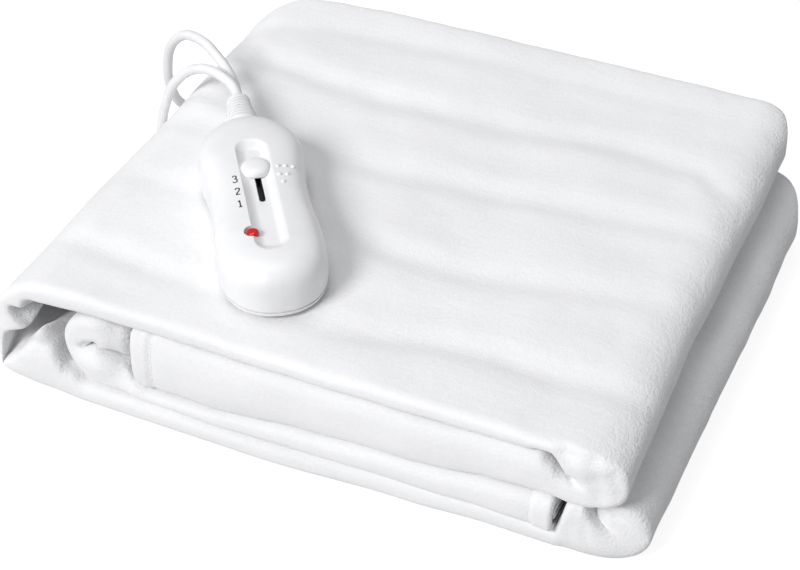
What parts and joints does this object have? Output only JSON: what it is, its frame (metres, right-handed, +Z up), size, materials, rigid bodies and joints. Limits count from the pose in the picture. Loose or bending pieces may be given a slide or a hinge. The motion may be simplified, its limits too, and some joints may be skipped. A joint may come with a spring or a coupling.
{
  "type": "electric heated blanket",
  "caption": "Folded fleece electric underblanket with a slider hand controller on top, its mains cord and plug, and the lead that joins controller and blanket.",
  "frame": {"origin": "middle of the underside of the folded blanket, on the surface it lies on", "axes": "+X to the right along the front face, +Y to the back, away from the face with the open layers, +Z up"},
  "size_m": [0.422, 0.4334, 0.1112],
  "materials": {
    "fleece": "soft brushed white fleece",
    "housing": "satin white moulded plastic",
    "knob": "satin white moulded plastic",
    "liner": "matt black plastic",
    "lens": "clear red plastic",
    "cord": "white flexible plastic sheath",
    "pins": "nickel-plated pins"
  },
  "bodies": {
    "blanket_and_controller": {"blanket": "fleece", "controller_lower_housing": "housing", "controller_upper_housing": "housing", "controller_slot_liner": "liner", "controller_indicator_lens": "lens", "controller_cord_boot": "cord", "mains_lead": "cord", "plug_lead": "cord", "mains_coil": "cord", "blanket_lead": "cord", "lead_inlet": "cord", "mains_plug": "cord", "plug_pin_left": "pins", "plug_pin_right": "pins"},
    "slider": {"controller_slider_knob": "knob"}
  },
  "joints": [
    {"name": "slider_travel", "type": "slide", "parent": "blanket_and_controller", "child": "slider", "axis": [0.5807, -0.8141, 0], "range_m": [0, 0.027]}
  ]
}
